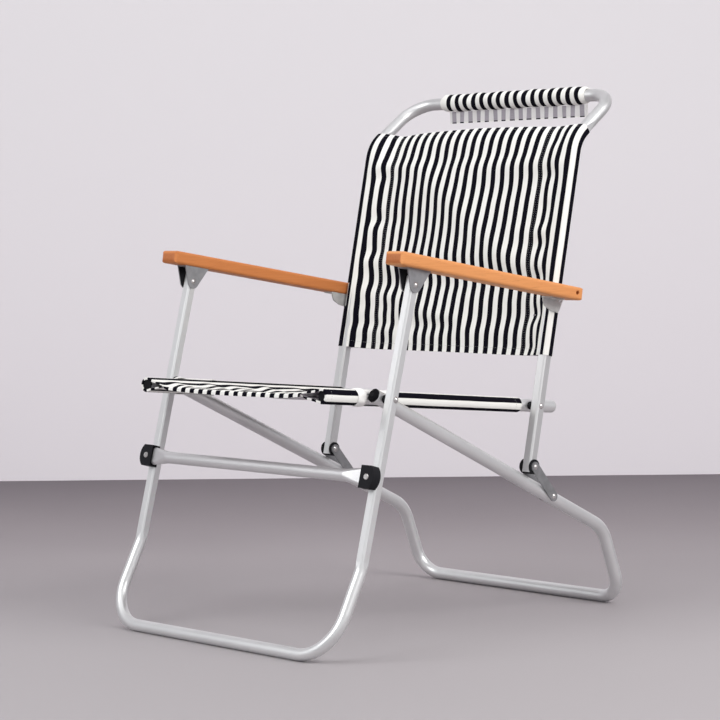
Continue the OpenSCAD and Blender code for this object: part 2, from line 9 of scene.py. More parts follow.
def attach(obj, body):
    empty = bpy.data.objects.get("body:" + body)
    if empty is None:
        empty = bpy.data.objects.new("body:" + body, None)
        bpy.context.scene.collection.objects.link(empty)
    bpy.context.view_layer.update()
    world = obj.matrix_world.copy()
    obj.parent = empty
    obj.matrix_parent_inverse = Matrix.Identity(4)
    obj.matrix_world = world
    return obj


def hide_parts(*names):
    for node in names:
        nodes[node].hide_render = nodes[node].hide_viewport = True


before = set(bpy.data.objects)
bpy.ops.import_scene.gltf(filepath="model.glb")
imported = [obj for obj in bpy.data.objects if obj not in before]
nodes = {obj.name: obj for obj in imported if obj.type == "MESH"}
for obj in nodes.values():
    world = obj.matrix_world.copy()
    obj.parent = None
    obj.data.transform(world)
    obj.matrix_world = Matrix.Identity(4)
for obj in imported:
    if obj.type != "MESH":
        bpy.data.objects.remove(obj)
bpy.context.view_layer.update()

scene = bpy.context.scene
scene.view_settings.view_transform = "Standard"


# The camera stands off the chair's front corner on the +X side, at the height of the back,
# and looks slightly down. A long lens keeps the legs almost parallel.
CAMERA_AT = (2.79242, -2.79413, 0.68236)
CAMERA_AZIMUTH, CAMERA_HEIGHT, CAMERA_ROLL = (math.radians(a) for a in (45.3401, 3.4898, -0.6998))


def add_camera():
    data = bpy.data.cameras.new("camera")
    data.lens = 115.6
    data.sensor_width = 36
    cam = bpy.data.objects.new("camera", data)
    scene.collection.objects.link(cam)
    turn = Matrix.Rotation(CAMERA_AZIMUTH, 4, "Z")
    turn @= Matrix.Rotation(math.pi / 2 - CAMERA_HEIGHT, 4, "X")
    turn @= Matrix.Rotation(CAMERA_ROLL, 4, "Z")
    cam.matrix_world = Matrix.Translation(CAMERA_AT) @ turn
    data.clip_start = 0.1
    data.clip_end = 60
    scene.camera = cam


add_camera()


# Every finish is a node material. A socket in an expression adds Math nodes, so a mask reads
# like arithmetic, and any other node comes from Finish.node with its settings and inputs.
class Sock:
    def __init__(self, finish, socket):
        self.finish, self.socket = finish, socket

    def math(self, operation, a, b=None):
        ins = {i: v for i, v in enumerate((a, b)) if v is not None}
        return self.finish.node("ShaderNodeMath", {"operation": operation}, ins)

    def __add__(self, o):
        return self.math("ADD", self, o)

    __radd__ = __add__

    def __mul__(self, o):
        return self.math("MULTIPLY", self, o)

    def __sub__(self, o):
        return self.math("SUBTRACT", self, o)

    def __rsub__(self, o):
        return self.math("SUBTRACT", o, self)

    def __truediv__(self, o):
        return self.math("DIVIDE", self, o)

    def __abs__(self):
        return self.math("ABSOLUTE", self)

    def frac(self):
        return self.math("FRACT", self)

    def sin(self):
        return self.math("SINE", self)

    def sign(self):
        return self.math("SIGN", self)

    def steps(self, low, high):
        """0 below low, 1 above high, smooth between"""
        kind = {"interpolation_type": "SMOOTHSTEP"}
        return self.finish.node(
            "ShaderNodeMapRange", kind, {"Value": self, "From Min": low, "From Max": high}
        )


class Finish:
    def __init__(self, name, world=None):
        self.material = world or bpy.data.materials.new(name)
        self.material.use_nodes = True
        self.tree = self.material.node_tree
        self.shader = self.tree.nodes["Background" if world else "Principled BSDF"]

    def node(self, kind, settings=None, inputs=None, out=0):
        made = self.tree.nodes.new(kind)
        for key, value in (settings or {}).items():
            if key == "stops":
                ramp = made.color_ramp
                while len(ramp.elements) < len(value):
                    ramp.elements.new(0.5)
                for el, (at, colour) in zip(ramp.elements, value):
                    el.position = at
                    el.color = (*colour, 1)
            else:
                setattr(made, key, value)
        for key, value in (inputs or {}).items():
            self.join(made.inputs[key], value)
        return Sock(self, made.outputs[out])

    def join(self, socket, value):
        if isinstance(value, Sock):
            self.tree.links.new(value.socket, socket)
        elif isinstance(value, (tuple, list)) and len(value) == 3 and socket.type == "RGBA":
            socket.default_value = (*value, 1)
        else:
            socket.default_value = value

    def set(self, **values):
        """shader sockets by name, with _ for a space"""
        for key, value in values.items():
            self.join(self.shader.inputs[key.replace("_", " ")], value)

    def place(self, scale=(1, 1, 1), turn=(0, 0, 0)):
        """the place on the object, scaled and turned"""
        at = self.node("ShaderNodeTexCoord", out=3)
        return self.node(
            "ShaderNodeMapping", {}, {"Vector": at, "Scale": scale, "Rotation": turn}
        )

    def parts(self, vector):
        split = self.node("ShaderNodeSeparateXYZ", {}, {0: vector})
        outs = split.socket.node.outputs
        return [Sock(self, outs[i]) for i in range(3)]

    def noise(self, vector, scale, detail=2, roughness=0.5):
        ins = {"Vector": vector, "Scale": scale, "Detail": detail, "Roughness": roughness}
        return self.node("ShaderNodeTexNoise", {}, ins)

    def streaks(self, at, scale, detail=2):
        """noise that is stretched differently along each axis"""
        return self.noise(
            self.node("ShaderNodeMapping", {}, {"Vector": at, "Scale": scale}), 1.0, detail
        )

    def mix(self, factor, a, b):
        """colour a where factor is 0, b where it is 1"""
        node = self.tree.nodes.new("ShaderNodeMix")
        node.data_type = "RGBA"
        self.join(node.inputs["Factor"], factor)
        self.join(node.inputs[6], a)
        self.join(node.inputs[7], b)
        return Sock(self, node.outputs[2])

    def bump(self, height, strength, distance):
        ins = {"Height": height, "Strength": strength, "Distance": distance}
        return self.node("ShaderNodeBump", {}, ins)


def paint(finish, *names):
    for name in names:
        obj = nodes[name]
        obj.data.materials.clear()
        obj.data.materials.append(finish.material)


# The floor is smooth grey screed with painted shade that darkens it towards a pale wall two
# metres behind the chair. The wall carries painted shade too, darker above. The wall is clear from
# behind, so the chair can be looked at from all sides.
WALL_A = Vector((-2.222, 0.813, 0))
WALL_B = Vector((-0.855, 2.138, 0))


def add_stage():
    run = (WALL_B - WALL_A).normalized()
    away = Vector((run.y, -run.x, 0))
    mid = (WALL_A + WALL_B) / 2
    turn = math.atan2(run.y, run.x)
    bpy.ops.mesh.primitive_plane_add(size=1, location=mid + away * 20, rotation=(0, 0, turn))
    floor = bpy.context.object
    floor.name = "floor"
    floor.scale = (60, 40, 1)
    bpy.ops.object.transform_apply(location=True, rotation=True, scale=True)
    f = Finish("screed_with_painted_shade")
    x, y, _ = f.parts(f.place())
    far = x * away.x + y * away.y - float(mid.dot(away))
    cloud = f.noise(f.place(), 1.3, 3)
    # painted shade: the floor grows darker towards the wall, where less light falls
    shade = f.node(
        "ShaderNodeValToRGB",
        {
            "stops": [
                (0.0, (0.165, 0.142, 0.158)),
                (0.15, (0.275, 0.243, 0.258)),
                (0.24, (0.345, 0.312, 0.327)),
                (0.40, (0.385, 0.360, 0.372)),
                (1.0, (0.40, 0.38, 0.39)),
            ]
        },
        {0: (far + (cloud - 0.5) * 0.35) / 6.0},
    )
    fine = f.noise(f.place(), 900, 2)
    f.set(Base_Color=shade, Roughness=0.62, Normal=f.bump(fine, 0.08, 0.001))
    f.shader.inputs["Specular IOR Level"].default_value = 0.3
    floor.data.materials.append(f.material)
    bpy.ops.mesh.primitive_plane_add(size=1, rotation=(math.pi / 2, 0, turn + math.pi))
    wall = bpy.context.object
    wall.name = "wall"
    wall.scale = (60, 20, 1)
    wall.location = mid + Vector((0, 0, 10))
    bpy.ops.object.transform_apply(location=True, rotation=True, scale=True)
    w = Finish("wall_with_painted_shade")
    height = w.parts(w.place())[2]
    # painted shade: the wall is lighter low down and darker higher up
    w.set(
        Base_Color=w.mix(height.steps(-0.3, 1.4), (0.865, 0.82, 0.86), (0.80, 0.775, 0.80)),
        Roughness=0.9,
    )
    w.shader.inputs["Specular IOR Level"].default_value = 0.1
    clear = w.node("ShaderNodeBsdfTransparent")
    side = w.node("ShaderNodeNewGeometry", out=6)
    both = w.node(
        "ShaderNodeMixShader", {}, {0: side, 1: Sock(w, w.shader.outputs[0]), 2: clear}
    )
    w.join(w.tree.nodes["Material Output"].inputs["Surface"], both)
    wall.data.materials.append(w.material)
    for poly in wall.data.polygons:
        if poly.normal.dot(away) < 0:
            poly.flip()


add_stage()


# A large softbox stands out on the +X side, a weaker one hangs above and another stands in
# front. The room all round is pale, with a darker ring round the way to the camera.
TO_CAMERA = (0.71, -0.70, 0.05)


def add_light(name, at, aim, size, power, colour=(1, 1, 1)):
    data = bpy.data.lights.new(name, "AREA")
    data.shape = "RECTANGLE"
    data.size, data.size_y = size
    data.energy = power
    data.color = colour
    lamp = bpy.data.objects.new(name, data)
    scene.collection.objects.link(lamp)
    lamp.location = at
    lamp.rotation_euler = (Vector(aim) - Vector(at)).to_track_quat("-Z", "Y").to_euler()


add_light("key_softbox", (2.7, 0.3, 2.1), (0, 0, 0.45), (1.8, 1.5), 66, (1.0, 0.985, 0.97))
add_light("top_softbox", (0.2, -0.8, 3.4), (0, 0, 0.3), (3.0, 3.0), 24)
add_light("front_softbox", (-0.7, -3.2, 2.5), (0, 0, 0.45), (2.6, 1.8), 62)


def add_room():
    room = bpy.data.worlds.new("room")
    scene.world = room
    f = Finish("room", room)
    look = f.node("ShaderNodeTexCoord")
    ways = {0: look, 1: TO_CAMERA}
    facing = f.node("ShaderNodeVectorMath", {"operation": "DOT_PRODUCT"}, ways, 1)
    walls = f.node(
        "ShaderNodeValToRGB",
        {
            "stops": [
                (0.62, (0.94, 0.95, 0.97)),
                (0.79, (0.38, 0.38, 0.39)),
                (0.90, (0.38, 0.38, 0.39)),
                (0.97, (0.90, 0.91, 0.92)),
            ]
        },
        {0: facing * 0.5 + 0.5},
    )
    rise = f.parts(look)[2]
    f.set(Color=f.mix(rise.steps(0.1, 0.95), walls, (0.42, 0.425, 0.435)))
    f.shader.inputs["Strength"].default_value = 1.0


add_room()


# All the frame tubes and the stretcher are drawn aluminium, blasted and anodised to an even
# satin, with faint lines and a slightly duller patch here and there. The back frame's copy is
# darker, which is painted shade.
def satin_metal(name, colour, rough, grain_turn=(0, 0, 0)):
    f = Finish(name)
    place = f.place()
    patch = f.noise(place, 9, 3)
    speck = f.noise(place, 1400, 2)
    lines = f.noise(f.place((700, 700, 6), grain_turn), 1.0, 2)
    dull = tuple(c * 0.93 for c in colour)
    f.set(
        Base_Color=f.mix(patch.steps(0.35, 0.7), colour, dull),
        Metallic=0.80,
        Roughness=rough + (patch - 0.5) * 0.10 + (lines - 0.5) * 0.05,
        Normal=f.bump(speck * 0.6 + lines * 0.4, 0.10, 0.0003),
    )
    return f


tube = satin_metal("satin_aluminium", (0.80, 0.805, 0.81), 0.37)
paint(tube, "seat_rail_left", "seat_rail_right", "front_leg_frame", "rear_leg_frame")
paint(tube, "rail_rear_caps")
# painted shade: the back frame gets a darker, duller copy of the aluminium to take down the light
# the lamps throw on it
back_frame_painted_shade = satin_metal("satin_aluminium_painted_shade", (0.70, 0.70, 0.705), 0.42)
paint(back_frame_painted_shade, "back_frame")
bar = satin_metal("satin_aluminium_bar", (0.76, 0.755, 0.765), 0.37, (0, math.pi / 2, 0))
paint(bar, "stretcher")


# The tube plugs, the spacers and the caps of the stretcher and back are moulded in black
# nylon with a fine spark-eroded surface, and their edges have worn a little paler.
def moulded_black():
    f = Finish("black_nylon")
    grain = f.noise(f.place(), 1600, 3)
    cloud = f.noise(f.place(), 40, 2)
    edge = f.node("ShaderNodeNewGeometry", out=7)
    f.set(
        Base_Color=f.mix(edge.steps(0.53, 0.66), (0.0035, 0.0033, 0.0045), (0.018, 0.018, 0.021)),
        Roughness=0.55 + (cloud - 0.5) * 0.12,
        Normal=f.bump(grain, 0.25, 0.0003),
    )
    f.shader.inputs["Specular IOR Level"].default_value = 0.06
    return f


nylon = moulded_black()
paint(nylon, "rail_front_plugs", "main_inner_spacers", "main_outer_spacers")
paint(nylon, "seat_back_spacers", "stretcher_caps", "rear_leg_plugs", "back_end_caps")
paint(nylon, "arm_rear_spacer_left", "arm_rear_spacer_right")


# Brackets and link plates are stamped from zinc-plated steel sheet and left matt, so they are
# a darker grey than the tubes; the rear brackets take a paler copy, which is painted light. Rivets
# and screws are plated bright.
def plated_steel(name, colour, rough, metal, between=None):
    """between, if given, is how far out a pair of ears has its middle; the faces that look
    at each other across it are painted dark, as painted shade for the gap between the ears"""
    f = Finish(name)
    place = f.place()
    cell = f.node("ShaderNodeTexVoronoi", {}, {"Vector": place, "Scale": 260})
    cloud = f.noise(place, 70, 3)
    dark = tuple(c * 0.8 for c in colour)
    shade = f.mix(cloud.steps(0.3, 0.75), colour, dark)
    if between:
        x = f.parts(place)[0]
        nx = f.parts(f.node("ShaderNodeTexCoord", out=1))[0]
        inward = nx * x.sign() * (abs(x) - between).sign() * -1.0
        # painted shade: the ear faces that look at each other are painted near-black for the shade
        # between them
        shade = f.mix(inward.steps(0.6, 0.9), shade, (0.025, 0.025, 0.03))
    f.set(
        Base_Color=shade,
        Metallic=metal,
        Roughness=rough + (cell - 0.5) * 0.06 + (cloud - 0.5) * 0.10,
        Normal=f.bump(cloud, 0.12, 0.0003),
    )
    return f


LEG_X = 0.267
shaded_ears = plated_steel("zinc_plate_ears_painted_shade", (0.33, 0.33, 0.345), 0.42, 0.6, between=LEG_X)
paint(shaded_ears, "front_bracket_left", "front_bracket_right")
sheet_steel = plated_steel("zinc_plate", (0.30, 0.30, 0.312), 0.42, 0.6)
paint(sheet_steel, "link_plates_left", "link_plates_right")
# painted light: the rear brackets are the same plate as the front ones, made paler to stand for
# the light that falls on them
rear_steel_painted_light = plated_steel("zinc_plate_painted_light", (0.62, 0.61, 0.60), 0.45, 0.5)
paint(rear_steel_painted_light, "rear_bracket_left", "rear_bracket_right")
bright = plated_steel("bright_rivet", (0.62, 0.60, 0.595), 0.27, 0.9)
for rivet in [n for n in nodes if "rivets" in n or "screws" in n or "_rivet_" in n]:
    paint(bright, rivet)


# The armrests are solid hardwood, oiled to a warm orange, with straight grain along their
# length, short dark pores and a redder, darker end grain that is partly painted shade. The left
# board is a little deeper in colour.
ARM_TURN = (math.radians(9.23), 0, 0)


def oiled_wood():
    f = Finish("oiled_wood")
    place = f.place((1, 1, 1), ARM_TURN)
    warp = f.noise(f.place((9, 2.2, 9), ARM_TURN), 1.0, 3)
    rings = f.noise(f.place((260, 5, 330), ARM_TURN), 1.0, 3, 0.6)
    pores = f.noise(f.place((1100, 38, 1100), ARM_TURN), 1.0, 2)
    pore = pores.steps(0.62, 0.72)
    wide = (rings * 0.6 + warp * 0.4).steps(0.32, 0.68)
    right = f.parts(f.place())[0].steps(-0.1, 0.1)
    pale = f.mix(right, (0.61, 0.215, 0.062), (0.735, 0.31, 0.108))
    deep = f.mix(right, (0.56, 0.185, 0.050), (0.67, 0.265, 0.086))
    side = f.mix(wide, pale, deep)
    side = f.mix(pore * 0.35, side, (0.36, 0.125, 0.042))
    normal = f.node("ShaderNodeTexCoord", out=1)
    # the end faces are painted redder and darker: partly end grain, partly painted shade for the
    # light that falls less on them
    end = abs(f.parts(normal)[1]).steps(0.72, 0.93)
    ends = f.noise(place, 420, 3)
    end_grain_and_shade = f.mix(ends, (0.42, 0.125, 0.038), (0.55, 0.185, 0.055))
    f.set(
        Base_Color=f.mix(end, side, end_grain_and_shade),
        Roughness=0.44 + (rings - 0.5) * 0.12 + pore * 0.2,
        Normal=f.bump(rings * 0.4 - pore * 0.5, 0.18, 0.0005),
    )
    f.shader.inputs["Specular IOR Level"].default_value = 0.35
    return f


wood = oiled_wood()
paint(wood, "armrest_left", "armrest_right")


# Seat, back and roll are cut from one heavy cotton canvas, woven plain and printed with
# black stripes. The print shows only grey on the reverse.
PERIOD = 0.0212
CLOTH = 0.0011
WEAVE = 0.0011


def canvas(name, reverse=False):
    f = Finish(name)
    at = f.node("ShaderNodeUVMap", {"uv_map": "cloth"})
    u, v, _ = f.parts(at)
    stray = f.streaks(at, (60, 14, 1))
    across = (u + (stray - 0.5) * 0.0012) / PERIOD
    dark = (0.25 - abs(across.frac() - 0.5)).steps(-0.012, 0.012)
    slub = f.streaks(at, (1500, 60, 1))
    weft = f.streaks(at, (60, 1500, 1))
    soil = f.streaks(at, (14, 14, 1), 3)
    warp_wave = (u * (2 * math.pi / WEAVE)).sin()
    weft_wave = (v * (2 * math.pi / WEAVE)).sin()
    if reverse:
        pale, ink = (0.80, 0.785, 0.78), (0.30, 0.28, 0.31)
    else:
        pale, ink = (0.88, 0.875, 0.84), (0.0034, 0.003, 0.0062)
    pale_soft = tuple(c * 0.93 for c in pale)
    ground = f.mix(soil.steps(0.3, 0.75) * 0.6 + slub * 0.3, pale, pale_soft)
    ink_soft = tuple(c * 1.7 + 0.001 for c in ink)
    black = f.mix(weft * 0.8, ink, ink_soft)
    thread = warp_wave * weft_wave * 0.5 + (slub + weft - 1.0) * 0.8
    f.set(
        Base_Color=f.mix(dark, ground, black),
        Roughness=0.86 + (weft - 0.5) * 0.1,
        Normal=f.bump(thread, 0.35, 0.00022),
    )
    f.shader.inputs["Specular IOR Level"].default_value = 0.05
    return f


face_cloth = canvas("striped_canvas")
back_of_cloth = canvas("striped_canvas_reverse", reverse=True)


def cloth_mesh(name, point, us, vs, gone=lambda u, v: False, shift=lambda u: 0.0):
    """a sheet of cloth: point(u, v) is its place; its print lies at u + shift(u) and v"""
    mesh = bpy.data.meshes.new(name)
    obj = bpy.data.objects.new(name, mesh)
    scene.collection.objects.link(obj)
    bm = bmesh.new()
    uv = bm.loops.layers.uv.new("cloth")
    grid = [[bm.verts.new(point(u, v)) for u in us] for v in vs]
    for j in range(len(vs) - 1):
        for i in range(len(us) - 1):
            if gone((us[i] + us[i + 1]) / 2, (vs[j] + vs[j + 1]) / 2):
                continue
            face = bm.faces.new(
                (grid[j][i], grid[j][i + 1], grid[j + 1][i + 1], grid[j + 1][i])
            )
            corners = ((i, j), (i + 1, j), (i + 1, j + 1), (i, j + 1))
            for loop, (a, b) in zip(face.loops, corners):
                loop[uv].uv = (us[a] + shift(us[a]), vs[b])
    loose = [v for v in bm.verts if not v.link_faces]
    bmesh.ops.delete(bm, geom=loose, context="VERTS")
    bm.to_mesh(mesh)
    bm.free()
    return obj


def apply_all(obj):
    bpy.ops.object.select_all(action="DESELECT")
    bpy.context.view_layer.objects.active = obj
    obj.select_set(True)
    for m in list(obj.modifiers):
        bpy.ops.object.modifier_apply(modifier=m.name)


def smooth_by_angle(obj, degrees):
    bpy.ops.object.select_all(action="DESELECT")
    obj.select_set(True)
    bpy.context.view_layer.objects.active = obj
    bpy.ops.object.shade_smooth_by_angle(angle=math.radians(degrees))


def thicken(obj, thickness=CLOTH):
    """gives the sheet its thickness; the inner side takes the second material"""
    obj.data.materials.append(face_cloth.material)
    obj.data.materials.append(back_of_cloth.material)
    m = obj.modifiers.new("thickness", "SOLIDIFY")
    m.thickness = thickness
    m.offset = 0
    m.material_offset = 1
    apply_all(obj)
    smooth_by_angle(obj, 50)


def bell(t):
    return math.exp(-t * t)


def ease(a, b, t):
    t = min(1.0, max(0.0, (t - a) / (b - a)))
    return t * t * (3 - 2 * t)


# The back cloth is one piece: it starts at a seam behind the panel, runs out round the
# upright, across the front and round the other upright to its own seam. Each seam is sewn
# through the panel with two rows of grey thread, and both ends have a narrow hem.
UP_X = 0.241
UP_HALF = 0.00925
LEAN = math.radians(12.75)
HEAD = math.radians(12.75 + 41.9)
UP_AT = (0.1464, 0.3646)
BEND_Z, BEND_R = 0.815, 0.060
BACK_LOW = 0.4487
SEAM_IN = 0.0608
SLEEVE = UP_HALF + 0.00045 + CLOTH / 2
CORNER = 0.0059

UP_D = Vector((0, math.sin(LEAN), math.cos(LEAN)))
HEAD_D = Vector((0, math.sin(HEAD), math.cos(HEAD)))
BEND_AT = Vector((0, UP_AT[0] + (BEND_Z - UP_AT[1]) * math.tan(LEAN), BEND_Z))
BEND_T = BEND_R * math.tan((HEAD - LEAN) / 2)
BACK_FOOT = Vector((0, UP_AT[0] + (BACK_LOW - UP_AT[1]) * math.tan(LEAN), BACK_LOW))
STRAIGHT = (BEND_AT - BACK_FOOT).length - BEND_T
BACK_LONG = STRAIGHT + BEND_R * (HEAD - LEAN) + 0.005


def up_the_back(v):
    """place and rearward normal on the uprights' axis, v metres above the cloth's lower edge"""
    if v <= STRAIGHT:
        turn, at = LEAN, BACK_FOOT + UP_D * v
    else:
        start = BACK_FOOT + UP_D * STRAIGHT
        centre = start + Vector((0, UP_D.z, -UP_D.y)) * BEND_R
        turn = min(HEAD, LEAN + (v - STRAIGHT) / BEND_R)
        at = centre + Vector((0, -math.cos(turn), math.sin(turn))) * BEND_R
        over = v - STRAIGHT - BEND_R * (HEAD - LEAN)
        if over > 0:
            at = at + HEAD_D * over
    return at, Vector((0, math.cos(turn), -math.sin(turn)))


# A sleeve is a square tube of cloth with round corners. FLAT is half a side between corners,
# and the u of each face's middle runs on from the front face over the outer one to the rear.
FLAT = SLEEVE - CORNER
ARC = CORNER * math.pi / 2
U_FRONT = UP_X
U_OUT = U_FRONT + FLAT + ARC + FLAT
U_REAR = U_OUT + FLAT + ARC + FLAT
U_SEAM = U_REAR + SEAM_IN + 0.004


def sleeve_point(u):
    """x and rearward depth on the sleeve, for u from the front face's middle onwards"""
    s = u - U_FRONT
    if s < FLAT:
        return UP_X + s, -SLEEVE
    s -= FLAT
    if s < ARC:
        a = s / CORNER
        return UP_X + FLAT + CORNER * math.sin(a), -FLAT - CORNER * math.cos(a)
    s -= ARC
    if s < 2 * FLAT:
        return UP_X + SLEEVE, -FLAT + s
    s -= 2 * FLAT
    if s < ARC:
        a = s / CORNER
        return UP_X + FLAT + CORNER * math.cos(a), FLAT + CORNER * math.sin(a)
    s -= ARC
    return UP_X + FLAT - s, SLEEVE


SLACK_BELOW, TAUT_ABOVE = 0.115, 0.178


def lower(v):
    """1 in the lower part of the panel, which hangs slack, 0 in the taut upper part"""
    return 1 - ease(SLACK_BELOW, TAUT_ABOVE, v)


def seam_pull(x, v):
    """the seams draw the panel back towards the middle of the sleeves, unevenly"""
    most = 0.0100 - 0.003 * lower(v) if x < 0 else 0.0042
    return most * ease(U_FRONT, 0.186, abs(x)) * math.exp(-max(0.0, 0.182 - abs(x)) / 0.080)


def back_sag(x, v):
    """how far the panel hangs behind the sleeves' front faces"""
    deep = -0.002 + 0.0145 * lower(v) + 0.0065 * (1 - ease(0.0, 0.045, v))
    deep += 0.008 * bell((v - STRAIGHT) / 0.03)
    return deep * (1 - abs(x / U_FRONT) ** (2 + 4 * lower(v)))


def pucker(x, v):
    """gathers beside the sleeves, where the seam thread pulls the canvas short"""
    side = 1 if x > 0 else -1
    run = v - 0.022 * ease(0.245, 0.310, v) - (0.183 if side < 0 else 0.187)
    wave = math.cos(run * 2 * math.pi / 0.0565) + 0.25 * side * math.sin(run * 2 * math.pi / 0.031)
    down = 1 - ease(0.12, 0.19, v) if side < 0 else 0
    rows = 0.0030 * bell((abs(x) - 0.203) / 0.018) * (1 - 0.55 * down)
    rows += (0.0007 + 0.0013 * down) * bell((abs(x) - 0.152) / (0.03 - 0.014 * down))
    return rows * wave * (1 - 0.45 * ease(0.30, 0.34, v))


def loose_folds(x, v):
    """long shallow folds of a panel that isn't quite taut"""
    low_left = 0.0055 * bell((x + 0.105) / 0.06) * bell((v - 0.213) / 0.045)
    slant = -0.0038 * bell((v - 0.251 + 0.62 * x) / 0.028) * ease(-0.12, -0.04, x)
    slant *= 1 - ease(0.12, 0.19, x)
    right = 0.0033 * ease(-0.01, 0.07, x) * bell((v - 0.292) / 0.026)
    high = -0.0024 * bell((v - 0.333) / 0.019) * (1 + 8 * abs(x))
    high *= 1 - 1.2 * bell((x + 0.06) / 0.03)
    foot = 0.0038 * bell((x - 0.15) / 0.06) * (1 - ease(0.10, 0.17, v))
    foot -= 0.0026 * bell((v - 0.055 + 0.25 * x) / 0.017) * (1 - ease(0.02, 0.10, x))
    foot += 0.0030 * bell((v - 0.122) / 0.020) * (1 - abs(x / U_FRONT))
    foot += 0.0052 * bell((v - 0.045) / 0.014) * (1 - ease(0.0, 0.06, x))
    foot += 0.0042 * bell((v - 0.060) / 0.030) * ease(0.02, 0.07, x)
    return low_left + slant + right + high + foot


def back_point(u, v):
    at, normal = up_the_back(v)
    s, side = abs(u), (1 if u > 0 else -1)
    if s <= U_FRONT:
        x = s
        span = 1 - (x / U_FRONT) ** 2
        hem = ease(0.0, 0.02, v) * ease(0.0, 0.02, BACK_LONG - v)
        loose = (pucker(u, v) + loose_folds(u, v)) * (0.5 + 0.5 * hem) * min(1, span * 5)
        depth = -SLEEVE + back_sag(x, v) + seam_pull(u, v) + loose
    elif s <= U_REAR:
        x, depth = sleeve_point(s)
    else:
        t = (s - U_REAR) / (U_SEAM - U_REAR)
        x = UP_X - SEAM_IN * t
        inner = -SLEEVE + back_sag(x, v) + seam_pull(side * x, v)
        inner += (pucker(side * x, v) + loose_folds(side * x, v)) * 0.9
        depth = SLEEVE + (inner + CLOTH * 1.05 - SLEEVE) * ease(0, 1, 0.5 + t / 2) * t ** 0.6
    return Vector((side * x, 0, 0)) + at + normal * depth


def along(stops):
    """values from each stop to the next at its own step"""
    out = []
    for (a, step), (b, _) in zip(stops, stops[1:]):
        n = max(1, round((b - a) / step))
        out += [a + (b - a) * i / n for i in range(n)]
    return out + [stops[-1][0]]


# Each sleeve is slit round the rivet that carries the armrest.
ARM_PIVOT_Z = 0.5421
SLIT = 0.044


def back_cloth():
    half = along(
        [(0, 0.008), (0.12, 0.004), (U_FRONT - 0.002, 0.0012), (U_REAR, 0.006), (U_SEAM, 0.006)]
    )
    us = [-u for u in reversed(half[1:])] + half
    pivot_v = (ARM_PIVOT_Z - BACK_LOW) / math.cos(LEAN) + 0.0004
    low, high = pivot_v - SLIT / 2, pivot_v + SLIT / 2
    vs = along([(0, 0.004), (low, 0.0055), (high, 0.005), (BACK_LONG, 0.005)])

    def gone(u, v):
        return low < v < high and U_FRONT + FLAT * 0.6 < abs(u) < U_OUT + FLAT + 0.004

    def shift(u):
        return 0.0035 * ease(0.180, 0.232, u)

    obj = cloth_mesh("back_cloth", back_point, us, vs, gone, shift)
    thicken(obj)
    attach(obj, "back")
    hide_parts("back_fabric")
    return obj


back = back_cloth()


# Stitches are short lengths of grey polyester thread that bed into the canvas. They lie in
# two rows along each seam of the back and in one row along its hems.
def thread_finish():
    f = Finish("grey_thread")
    twist = f.noise(f.place(), 3000, 1)
    f.set(
        Base_Color=f.mix(twist, (0.36, 0.36, 0.355), (0.24, 0.24, 0.24)),
        Roughness=0.7,
        Normal=f.bump(twist, 0.3, 0.0002),
    )
    return f


thread = thread_finish()
STITCH, STITCH_GAP, THREAD_R = 0.0026, 0.0014, 0.0002
STITCH_SIDES = 5


def along_row(row, marks, s):
    """the place and outward normal s metres along a row"""
    i = max(0, min(len(marks) - 2, int(np.searchsorted(marks, s)) - 1))
    t = (s - marks[i]) / max(1e-9, marks[i + 1] - marks[i])
    (a, up_a), (b, up_b) = row[i], row[i + 1]
    return a.lerp(b, t), up_a.lerp(up_b, t).normalized()


def stitch_ring(bm, at, up, side, sink, fat):
    """one ring of a stitch, a flat oval that lies sink radii above the cloth"""
    ring = []
    for j in range(STITCH_SIDES):
        q = 2 * math.pi * j / STITCH_SIDES
        rise = THREAD_R * sink + THREAD_R * fat * math.sin(q)
        ring.append(bm.verts.new(at + up * rise + side * (THREAD_R * 1.2 * fat * math.cos(q))))
    return ring


def stitches(name, rows, body):
    """rows are lists of (place, outward normal); stitches lie end to end along each row"""
    mesh = bpy.data.meshes.new(name)
    obj = bpy.data.objects.new(name, mesh)
    scene.collection.objects.link(obj)
    bm = bmesh.new()
    for row in rows:
        run = 0.0
        marks = [0.0]
        for (a, _), (b, _) in zip(row, row[1:]):
            run += (b - a).length
            marks.append(run)
        for k in range(int(run / (STITCH + STITCH_GAP))):
            start = k * (STITCH + STITCH_GAP)
            ends = [along_row(row, marks, start + STITCH * part) for part in (0, 0.5, 1)]
            axis = (ends[2][0] - ends[0][0]).normalized()
            loops = []
            for (at, up), sink, fat in zip(ends, (-0.7, 0.5, -0.7), (0.6, 1.0, 0.6)):
                side = axis.cross(up).normalized()
                loops.append(stitch_ring(bm, at, up, side, sink, fat))
            for a, b in zip(loops, loops[1:]):
                for j in range(STITCH_SIDES):
                    j_next = (j + 1) % STITCH_SIDES
                    bm.faces.new((a[j], a[j_next], b[j_next], b[j]))
            bm.faces.new(loops[0][::-1])
            bm.faces.new(loops[-1])
    bmesh.ops.recalc_face_normals(bm, faces=bm.faces)
    bm.to_mesh(mesh)
    bm.free()
    mesh.materials.append(thread.material)
    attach(obj, body)
    return obj


def on_cloth(point, u, v, outward):
    """a place just on the cloth's face, with the cloth's normal turned to the given side"""
    e = 0.0004
    du = point(u + e, v) - point(u - e, v)
    dv = point(u, v + e) - point(u, v - e)
    n = du.cross(dv).normalized()
    if n.dot(outward) < 0:
        n = -n
    return point(u, v) + n * (CLOTH / 2), n


BACK_SEAM_ROWS = (UP_X - SEAM_IN - 0.0024, UP_X - SEAM_IN + 0.0024)
BACK_HEM_ROWS = (0.0115, BACK_LONG - 0.0065)


